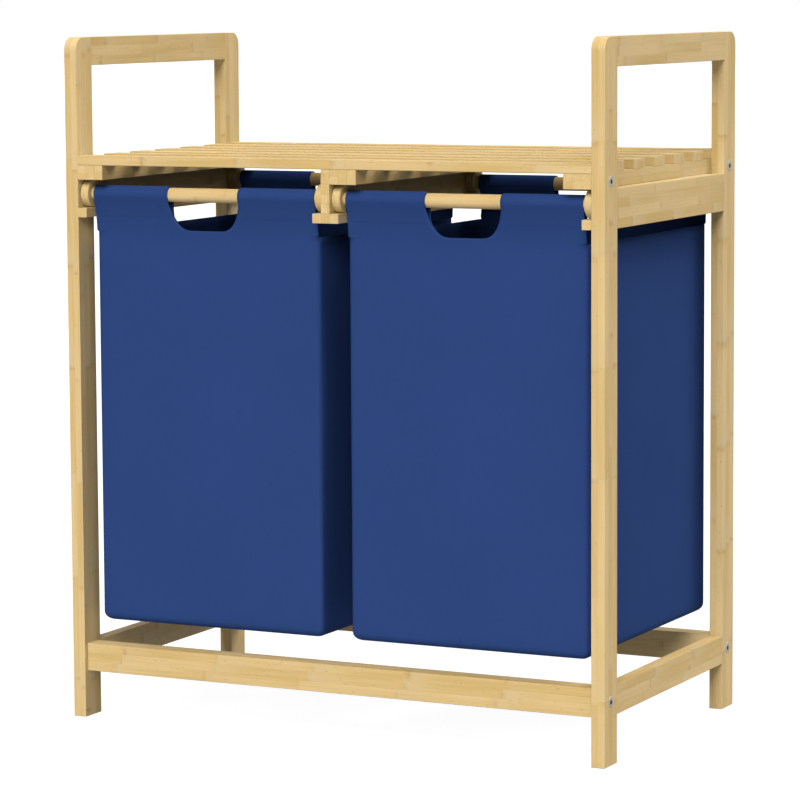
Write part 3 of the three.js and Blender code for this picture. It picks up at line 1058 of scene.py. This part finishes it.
@dataclass
class Bag:
    """One cloth bag: a lofted shell whose front and back panels go up and round their rods.

    Attributes:
        side: The side of the rack that it hangs at.
        ear_half: Half the width of the front panel just above the side panels, where it flares out.
        ear_rise: Height within which it flares.
        rod_bare: Length of rod left bare between the sleeve and a wheel.
        grip_top_half: Half the width of the hand opening at its top, as grip_bottom_half is at its bottom
            and grip_corner_half at the corner that draws its side into a curve.
        lean_low: Height from which the front and back panels lean out.
        seam_layers: Thickness of the sleeve's seam, in cloths.
        bottom_rings: How far out each ring of the flat bottom lies, as a share.
        rise_rows: Where the rows of the front panel lie from the hand opening up to the sleeve, as a share.
        rows_below_grip: Rows of faces of the panel above the side panels and below the hand opening.
        level_ripple: Rate upwards and size of the ripple that runs level.
        ripples: For each other ripple its rate across, its rate upwards, its share of the phase and its size.
    """

    side: str
    half_x: float = 0.13325
    half_y: float = 0.162
    corner: float = 0.005
    bottom_radius: float = 0.009
    side_top: float = 0.524
    cloth: float = 0.0011
    sleeve_radius: float = 0.009
    seam_drop: float = 0.023
    seam_layers: float = 2.2
    hem_low: float = 0.008
    ear_half: float = 0.1327
    ear_rise: float = 0.0014
    rod_bare: float = 0.0035
    grip_top_half: float = 0.042
    grip_bottom_half: float = 0.0185
    grip_corner_half: float = 0.036
    grip_drop: float = 0.0375
    grip_straight: float = 0.008
    bulge: float = 0.0016
    sag: float = 0.0025
    lean_low: float = 0.51
    front_phase: float = 0.7
    side_phase: float = 2.9
    crown_low: float = 0.55
    crown_gain: float = 0.3
    level_ripple: tuple[float, float] = (29.0, 0.2)
    ripples: tuple[tuple[float, ...], ...] = ((34.0, 5.0, 1.0, 0.35), (71.0, -3.0, 2.0, 0.18))
    stitch_gap: float = 0.0034
    stitch_half: float = 0.0012
    stitch_radius: float = 0.00028
    seam_inset: float = 0.0005
    seam_from_grip: float = 0.004
    seam_from_end: float = 0.001
    seam_points: int = 60
    side_seam_points: int = 160
    side_seam_drop: float = 0.009
    side_seam_end: float = 0.008
    bottom_rings: tuple[float, ...] = (0.04, 0.2, 0.36, 0.52, 0.68, 0.82, 0.93)
    rise_rows: tuple[float, ...] = (
        0, 0.02, 0.06, 0.11, 0.17, 0.24, 0.32, 0.4, 0.48, 0.56, 0.64, 0.72, 0.8, 0.87, 0.94)
    rows_below_grip: int = 3
    edge_rings: int = 6
    sleeve_rows: int = 30
    fall_rows: int = 8
    arc_steps: int = 3
    wing_columns: int = 18
    middle_columns: int = 10
    side_columns: int = 34
    body_rows: int = 56

    def __post_init__(self) -> None:
        """Takes the places of the bag and its rods from the frame."""
        low, high = box_of(f"{self.side}_bag")
        rods = [box_of(f"{self.side}_bag_{end}_rod") for end in ENDS]
        front_y, back_y = (rod[:, 1].mean() for rod in rods)
        self.middle = np.array([(low[0] + high[0]) / 2, (front_y + back_y) / 2, 0.0])
        self.bottom = low[2]
        self.rod_high = rods[0][:, 2].mean()
        self.rod_reach = (back_y - front_y) / 2
        self.seam_high = self.rod_high - self.seam_drop
        wheel_inside = box_of(f"{self.side}_bag_front_wheel_right")[0, 0]
        self.sleeve_half = wheel_inside - self.rod_bare - self.middle[0]
        self.grip_low = self.rod_high - self.grip_drop
        self.lean_turn = 0.3  # a first guess, which a few rounds settle
        for _ in range(12):
            out = self.rod_reach + self.sleeve_radius * math.cos(self.lean_turn) - self.half_y
            self.lean_top = self.rod_high - self.sleeve_radius * math.sin(self.lean_turn)
            self.lean_turn = math.atan(2 * out / (self.lean_top - self.lean_low))

    def lean(self, high: np.ndarray) -> np.ndarray:
        """How far the front and back panels lean out towards their rods, in metres.

        A square that starts at the lean's low end and meets the sleeve's circle as its tangent.

        Args:
            high: Heights.

        Returns:
            The distance outwards.
        """
        above = np.clip(high, self.lean_low, self.lean_top) - self.lean_low
        return math.tan(self.lean_turn) * above ** 2 / (2 * (self.lean_top - self.lean_low))

    def swell(self, across: np.ndarray, high: np.ndarray, half: float, phase: np.ndarray) -> np.ndarray:
        """How far a wall stands out, in metres.

        A cosine across times a sine up, which is nothing at the wall's edges, plus slow ripples that
        fade the same way.

        Args:
            across: Place across the wall, from its middle.
            high: Height of each point.
            half: Half the wall's width.
            phase: Shift of the ripples, one for all points or one for each column.

        Returns:
            The distance outwards.
        """
        edge = np.clip(np.cos(across / half * QUARTER), 0, 1)
        rise = np.clip((high - self.bottom) / (self.side_top - self.bottom), 0, 1)
        crown = edge ** 0.7 * np.sin(rise * math.pi) * (self.crown_low + self.crown_gain * rise)
        ripple = np.sin(high * self.level_ripple[0] + phase) * self.level_ripple[1]
        for rate, climb, share, size in self.ripples:
            ripple = ripple + np.sin(across * rate + climb * rise + share * phase) * size
        return self.bulge * (crown + edge ** 0.5 * ripple * np.sin(rise * math.pi) ** 0.6)

    def front_ring(self) -> np.ndarray:
        """The front of the ring of points round the bag.

        Returns:
            Points from the middle of one corner to the middle of the next.
        """
        flat = self.half_x - self.corner
        arc = circle(np.linspace(math.pi * 1.25, math.pi * 1.5, self.arc_steps + 1))
        left = self.corner * arc + (-flat, self.corner - self.half_y)
        grip = self.grip_bottom_half
        inner = np.concatenate([
            np.linspace(-flat, -grip, self.wing_columns + 1)[1:],
            np.linspace(-grip, grip, self.middle_columns + 1)[1:],
            np.linspace(grip, flat, self.wing_columns + 1)[1:-1]])
        middle = np.stack([inner, np.full(len(inner), -self.half_y)], -1)
        return np.concatenate([left, middle, left[::-1] * (-1, 1)])

    def side_ring(self) -> np.ndarray:
        """The right side of the ring of points round the bag.

        Returns:
            Points between the middles of its two corners, without these.
        """
        flat = self.half_y - self.corner
        arc = circle(np.linspace(-math.pi / 4, 0, self.arc_steps + 1)[1:])
        low = self.corner * arc + (self.half_x - self.corner, -flat)
        inner = np.linspace(-flat, flat, self.side_columns + 1)[1:-1]
        middle = np.stack([np.full(len(inner), self.half_x), inner], -1)
        return np.concatenate([low, middle, low[::-1] * (1, -1)])

    def ring_rows(self) -> tuple[np.ndarray, np.ndarray]:
        """Inset and height of each ring, from the bottom panel's middle to the side panels' top.

        Returns:
            For each ring how far it is drawn in from full size, in metres, and its height.
        """
        turn = np.linspace(0, QUARTER, self.edge_rings)
        edge = self.bottom_radius
        out = np.array(self.bottom_rings)
        walls = np.linspace(edge, self.side_top - self.bottom, self.body_rows + 1)[1:]
        flat_inset = (1 - out) * self.half_x + edge * out
        inset = np.concatenate([flat_inset, edge * (1 - np.sin(turn)), np.zeros(len(walls))])
        height = np.concatenate([-self.sag * (1 - out ** 2), edge * (1 - np.cos(turn)), walls])
        return inset, self.bottom + height

    def body(self, ring: np.ndarray) -> np.ndarray:
        """The bottom and the walls, up to the side panels' top.

        Each ring is the whole ring drawn in by its inset. Above the round edge of the bottom the walls
        swell, and the front and back lean out.

        Args:
            ring: Points once round the bag.

        Returns:
            Points by ring and column.
        """
        inset, height = self.ring_rows()
        scale = 1 - inset[:, None] / np.array([self.half_x, self.half_y])
        flat = len(self.bottom_rings)
        scale[:flat, 1] = scale[:flat, 0]
        points = at_height(ring * scale[:, None, :], height)
        x, y, z = points[..., 0], points[..., 1], points[..., 2]
        lift = (height > self.bottom + self.bottom_radius - HAIR)[:, None]
        from_corner = np.array([self.half_x, self.half_y]) - self.corner - np.abs(ring)
        beyond = ring > 0
        out_y = self.swell(x, z, self.half_x, self.front_phase + beyond[:, 1]) * (from_corner[:, 0] > -HAIR)
        out_x = self.swell(y, z, self.half_y, self.side_phase + beyond[:, 0]) * (from_corner[:, 1] > -HAIR)
        out_y = out_y * lift + self.lean(z) * (from_corner[:, 0] > HAIR)
        points[..., :2] += np.sign(ring) * np.stack([out_x * lift, out_y], -1)
        return points

    def path(self) -> np.ndarray:
        """The front panel's way above the side panels, as distance from the bag's middle and height.

        It leans out ever more until it touches the sleeve's circle, goes over the top of it, then by a
        tangent back to the seam, and ends as a hem down the inside.

        Returns:
            Pairs of distance and height.
        """
        rod = np.array([self.rod_reach, self.rod_high])
        seam_thick = self.seam_layers * self.cloth
        inner_seam = np.array([self.half_y + self.lean(self.seam_high) - seam_thick, self.seam_high])
        away = inner_seam - rod
        end = math.atan2(away[1], away[0]) - math.acos(self.sleeve_radius / np.hypot(*away)) + 2 * math.pi
        over = rod + self.sleeve_radius * circle(np.linspace(-self.lean_turn, end, self.sleeve_rows))
        ears = self.side_top + self.ear_rise * np.array([0.5, 1.0])
        rows = self.grip_low + (self.lean_top - self.grip_low) * np.array(self.rise_rows)
        high = np.concatenate([ears, rows])
        rise = np.stack([self.half_y + self.lean(high), high], -1)
        fall = over[-1] + (inner_seam - over[-1]) * np.linspace(0, 1, self.fall_rows + 1)[1:, None]
        hem_high = self.seam_high - self.hem_low * np.array([0.5, 1.0])
        hem = np.stack([self.half_y + self.lean(hem_high) - seam_thick, hem_high], -1)
        return np.concatenate([rise, over, fall, hem])

    def grip_half(self, high: np.ndarray) -> np.ndarray:
        """Half the width of the hand opening at each height.

        Its side is a quadratic curve from the flat bottom's end to the straight part under the rod.

        Args:
            high: Heights.

        Returns:
            Half widths, the bottom's own half width below the opening.
        """
        top = self.rod_high - self.grip_straight
        t = np.sqrt(np.clip((high - self.grip_low) / (top - self.grip_low), 0, 1))
        return ((1 - t) ** 2 * self.grip_bottom_half + 2 * t * (1 - t) * self.grip_corner_half
                + t ** 2 * self.grip_top_half)

    def flap(self, base: np.ndarray) -> tuple[np.ndarray, np.ndarray]:
        """Points of the front panel above the side panels.

        Its edge flares out just above the side panels, then narrows to the sleeve. Between its middle part
        and its edge, a column keeps its share of the way from the hand opening's side to the edge.

        Args:
            base: The front's ring points.

        Returns:
            Points by row and column, and the length of cloth up to each row.
        """
        path = self.path()
        high = path[:, 1]
        above = np.maximum.accumulate(high)[:, None] - self.side_top
        share = np.clip(above / (self.rod_high - self.side_top), 0, 1)
        flare = np.clip(above / self.ear_rise, 0, 1)
        start = abs(base[0, 0])
        edge = start + (self.ear_half - start) * flare + (self.sleeve_half - self.ear_half) * share
        x = base[:, 0]
        wing = np.clip((start - np.abs(x)) / (start - self.grip_bottom_half), 0, 1)
        spread = np.sign(x) * (edge - wing * (edge - self.grip_half(high)[:, None]))
        across = np.where(np.abs(x) < self.grip_bottom_half - HAIR, x, spread)
        depth = (base[:, 1] + self.half_y) * (1 - flare) - path[:, :1]
        steps = np.linalg.norm(np.diff(path, axis=0), axis=1)
        length = self.side_top + np.append(high[0] - self.side_top, steps).cumsum()
        return at_height(np.stack([across, depth], -1), high), length

    def in_grip(self, rows: int, columns: int) -> np.ndarray:
        """Which faces of a whole flap would lie in its hand opening.

        Args:
            rows: Rows of faces.
            columns: Columns of faces.

        Returns:
            True or False for each face, row by row.
        """
        row, column = np.divmod(np.arange(rows * columns), columns)
        from_wing = column - self.arc_steps - self.wing_columns
        return (row >= self.rows_below_grip) & np.isin(from_wing, np.arange(self.middle_columns))

    def shell(self) -> Surface:
        """The bag's outer face as one welded surface, open at the top.

        The body's rings close round the bag and a fan closes the bottom. A flap at the front and one at
        the back go on from the body's last ring, each with a hand opening. The places on the cloth are
        X and Y on the bottom, and the way round the bag and the height or length of cloth elsewhere.

        Returns:
            The surface with its places on the cloth.
        """
        front, right = self.front_ring(), self.side_ring()
        ring = np.concatenate([front, right, -front, -right])
        body = self.body(ring)
        rings, count = body.shape[:2]
        girth = np.append(0, np.linalg.norm(np.diff(ring, axis=0, append=ring[:1]), axis=1).cumsum())
        numbers = np.arange(rings * count).reshape(rings, count)
        on_wall = face_corners(np.stack(np.broadcast_arrays(girth, body[:, :1, 2]), -1))
        on_bottom = face_corners(round_again(body)[..., :2])
        bottom_faces = (len(self.bottom_rings) - 1) * count
        here, beside = np.arange(count), (np.arange(count) + 1) % count
        points = [body.reshape(-1, 3), np.array([[0.0, 0.0, body[0, 0, 2] - self.sag * 0.01]])]
        centre = np.full(count, rings * count)
        faces = [face_corners(round_again(numbers)), np.stack([centre, beside, here], -1)]
        fan = np.stack([np.zeros((count, 2)), body[0, beside, :2], body[0, here, :2]], 1)
        cloth = [on_bottom[:bottom_faces], on_wall[bottom_faces:], fan]
        flap, length = self.flap(front)
        rows, columns = flap.shape[:2]
        cloth_there = ~self.in_grip(rows, columns - 1)
        for half_turn, first in ((1, 0), (-1, len(front) + len(right))):
            start = sum(len(part) for part in points)
            points.append(flap.reshape(-1, 3) * (half_turn, half_turn, 1))
            own = start + np.arange(rows * columns).reshape(rows, columns)
            faces.append(face_corners(np.vstack([numbers[-1, first:first + columns], own]))[cloth_there])
            up = np.append(self.side_top, length)[:, None]
            place = np.stack(np.broadcast_arrays(girth[first:first + columns], up), -1)
            cloth.append(face_corners(place)[cloth_there])
        used = np.unique(np.concatenate([part.ravel() for part in faces]))
        tidy_faces = [face for part in faces for face in np.searchsorted(used, part).tolist()]
        flat_cloth = np.concatenate([part.reshape(-1, 2) for part in cloth])
        return Surface(np.concatenate(points)[used] + self.middle, tidy_faces, cloth=flat_cloth)

    def seam_lines(self) -> list[tuple[np.ndarray, np.ndarray]]:
        """The lines that the stitches follow, in the bag's own place.

        Returns:
            For each line its points and its outward normal.
        """
        lines = []
        high = np.full(self.seam_points, self.seam_high - self.seam_inset)
        start, end = self.grip_half(high[0]) + self.seam_from_grip, self.sleeve_half - self.seam_from_end
        sleeve = np.linspace(start, end, self.seam_points)
        low = np.full(self.side_seam_points, self.side_top - self.side_seam_drop)
        y = np.linspace(-1, 1, self.side_seam_points) * (self.half_y - self.side_seam_end)
        for half_turn in (1, -1):
            for sign in (-1, 1):
                line = np.stack([sign * sleeve, -self.half_y - self.lean(high), high], -1)
                lines.append((line * (half_turn, half_turn, 1), np.array([0.0, -half_turn, 0.0])))
            out = self.half_x + self.swell(y, low, self.half_y, self.side_phase + (half_turn > 0))
            lines.append((np.stack([half_turn * out, y, low], -1), np.array([half_turn, 0.0, 0.0])))
        return lines

    def stitches(self) -> Surface:
        """Every visible stitch as a small spindle laid along its seam.

        A point is the stitch's middle plus the tangent times a length share, plus the normal and the
        binormal times the spindle's radius there.

        Returns:
            All stitches in one mesh.
        """
        along = np.array([-1.0, -0.7, 0.0, 0.7, 1.0])[:, None, None, None]
        thick = np.array([0.25, 0.8, 1.0, 0.8, 0.25])[:, None, None, None]
        turn = np.arange(6)[:, None, None] * math.pi / 3
        parts = []
        for line, normal in self.seam_lines():
            steps = np.linalg.norm(np.diff(line, axis=0), axis=1)
            length = np.append(0, steps.cumsum())
            spots = np.arange(self.stitch_gap, length[-1] - self.stitch_gap, self.stitch_gap)
            middle, ahead = (
                np.stack([np.interp(place, length, part) for part in line.T], -1)
                for place in (spots, spots + self.stitch_half))
            tangent = (ahead - middle) / np.linalg.norm(ahead - middle, axis=1)[:, None]
            ring = (np.cos(turn) * normal + np.sin(turn) * np.cross(tangent, normal)) * self.stitch_radius
            points = middle + along * self.stitch_half * tangent + thick * ring
            parts.append(points.transpose(2, 0, 1, 3).reshape(-1, 3))
        every = np.concatenate(parts)
        size = len(along) * len(turn)
        spindle = tube_faces(len(along), len(turn))
        faces = [[n + start for n in face] for start in range(0, len(every), size) for face in spindle]
        return Surface(every + self.middle, faces)

    def build(self, finishes: Finishes) -> None:
        """Makes the bag's cloth and its stitching.

        Args:
            finishes: The shared materials.
        """
        body = f"{self.side}_bag"
        piece = place_piece(f"{body}_cloth", self.shell(), finishes.cloth, body, [body], False)
        # the inside faces get the darker copy of the cloth, painted shade
        piece.data.materials.append(finishes.inside_cloth_painted_shade)
        thick = piece.modifiers.new("cloth", "SOLIDIFY")
        thick.thickness = self.cloth
        thick.offset = -1
        thick.material_offset = 1
        thick.use_even_offset = True
        place_piece(f"{body}_stitches", self.stitches(), finishes.thread, body, [], False)


@dataclass(frozen=True)
class Lamp:
    """One broad distant lamp with white light.

    Attributes:
        name: Name of the lamp.
        turn: Degrees from straight in front of the hamper toward its right side.
        high: Degrees above the floor.
        strength: Share of full light that it throws on a face turned to it.
        spread: Width of its light in degrees, which softens the shadows.
        distance: Metres from the hamper's foot.
    """

    name: str
    turn: float
    high: float
    strength: float
    spread: float = 38.0
    distance: float = 3.0

    def build(self) -> None:
        """Hangs the lamp, so that it shines on the hamper from its side and height."""
        turn, high = math.radians(self.turn), math.radians(self.high)
        way = Vector((math.sin(turn) * math.cos(high), -math.cos(turn) * math.cos(high), math.sin(high)))
        data = bpy.data.lights.new(self.name, "SUN")
        data.energy = math.pi * self.strength
        data.angle = math.radians(self.spread)
        lamp = bpy.data.objects.new(self.name, data)
        lamp.rotation_euler = way.to_track_quat("Z", "Y").to_euler()
        lamp.location = way * self.distance
        bpy.context.scene.collection.objects.link(lamp)


@dataclass
class Studio:
    """A pale floor, soft lights and the photograph's viewpoint."""

    camera_place: tuple[float, float, float] = (1.66328, -3.41423, 0.77877)
    yaw_degrees: float = 27.5784
    pitch_degrees: float = 6.2128
    roll_degrees: float = -0.498
    focal_pixels: float = 3554.41
    middle_pixel: tuple[float, float] = (304.0, 376.0)
    picture_pixels: float = 800.0
    sensor_mm: float = 36.0
    floor_half: float = 30.0
    floor_colour: Colour = (0.20, 0.20, 0.20, 1)
    floor_other_colour: Colour = (0.21, 0.21, 0.21, 1)
    floor_roughness: float = 0.9
    floor_seen: float = 0.94
    floor_glow: float = 0.24
    mirrored_glow: float = 0.35
    lamps: tuple[Lamp, ...] = (
        Lamp("front lamp", 9.0, 37.0, 0.98),
        Lamp("right back lamp", 134.0, 40.0, 0.58),
        Lamp("top lamp", 75.0, 70.0, 0.22),
        Lamp("left lamp", -112.0, 30.0, 0.22),
    )

    def camera(self) -> None:
        """Sets up the camera at the photograph's viewpoint.

        It is rolled about its line of sight, raised to the level less its pitch, and turned by its yaw.
        """
        yaw, pitch, roll = map(math.radians, (self.yaw_degrees, self.pitch_degrees, self.roll_degrees))
        data = bpy.data.cameras.new("camera")
        data.sensor_width = self.sensor_mm
        data.lens = self.focal_pixels / self.picture_pixels * self.sensor_mm
        half = self.picture_pixels / 2
        data.shift_x = (half - self.middle_pixel[0]) / self.picture_pixels
        data.shift_y = (self.middle_pixel[1] - half) / self.picture_pixels
        camera = bpy.data.objects.new("camera", data)
        raised = Matrix.Rotation(QUARTER - pitch, 4, "X") @ Matrix.Rotation(roll, 4, "Z")
        camera.matrix_world = Matrix.Translation(self.camera_place) @ Matrix.Rotation(yaw, 4, "Z") @ raised
        bpy.context.scene.collection.objects.link(camera)
        bpy.context.scene.camera = camera

    def floor(self) -> None:
        """Lays the pale floor, which shines white to the lens and more softly on the hamper."""
        material, w, shader = new_material("pale floor")
        tint = w.noise(w.read("ShaderNodeTexCoord", "Object"), 2.0, 1.0)
        seen = w.read("ShaderNodeLightPath", "Is Camera Ray")
        w.fill(shader, Base_Color=w.mix(tint, self.floor_colour, self.floor_other_colour),
               Roughness=self.floor_roughness, Specular_IOR_Level=0.0, Emission_Color=(1, 1, 1, 1),
               Emission_Strength=w.ramp(seen, 0.0, 1.0, self.floor_glow, self.floor_seen))
        half = self.floor_half
        corners = [(-half, -half, 0), (half, -half, 0), (half, half, 0), (-half, half, 0)]
        mesh = bpy.data.meshes.new("floor")
        mesh.from_pydata(corners, [], [(0, 1, 2, 3)])
        mesh.materials.append(material)
        floor = bpy.data.objects.new("floor", mesh)
        bpy.context.scene.collection.objects.link(floor)

    def room(self) -> None:
        """Puts white all round for the lens, a soft grey for mirrored rays, and no light of its own."""
        world = bpy.data.worlds.new("white room")
        world.use_nodes = True
        w = NodeWriter(world.node_tree)
        mirrored = w.read("ShaderNodeLightPath", "Is Glossy Ray") * self.mirrored_glow
        seen = w.read("ShaderNodeLightPath", "Is Camera Ray")
        w.fill(world.node_tree.nodes["Background"], Color=(1, 1, 1, 1),
               Strength=w.math("MAXIMUM", seen, mirrored))
        bpy.context.scene.world = world

    def build(self) -> None:
        """Sets up camera, lamps, floor, room and the plain view of their colours."""
        self.camera()
        for lamp in self.lamps:
            lamp.build()
        self.floor()
        self.room()
        bpy.context.scene.view_settings.view_transform = "Standard"
        log.info("studio: camera, %d lamps, floor and room", len(self.lamps))


def main() -> None:
    logging.basicConfig(level=logging.INFO, format="%(name)s: %(message)s")
    finishes = Finishes.make()
    for assembly in (Boards(), Posts(), Fasteners(), Rollers(), *(Bag(side) for side in SIDES)):
        assembly.build(finishes)
    Studio().build()


if __name__ == "__main__":
    main()
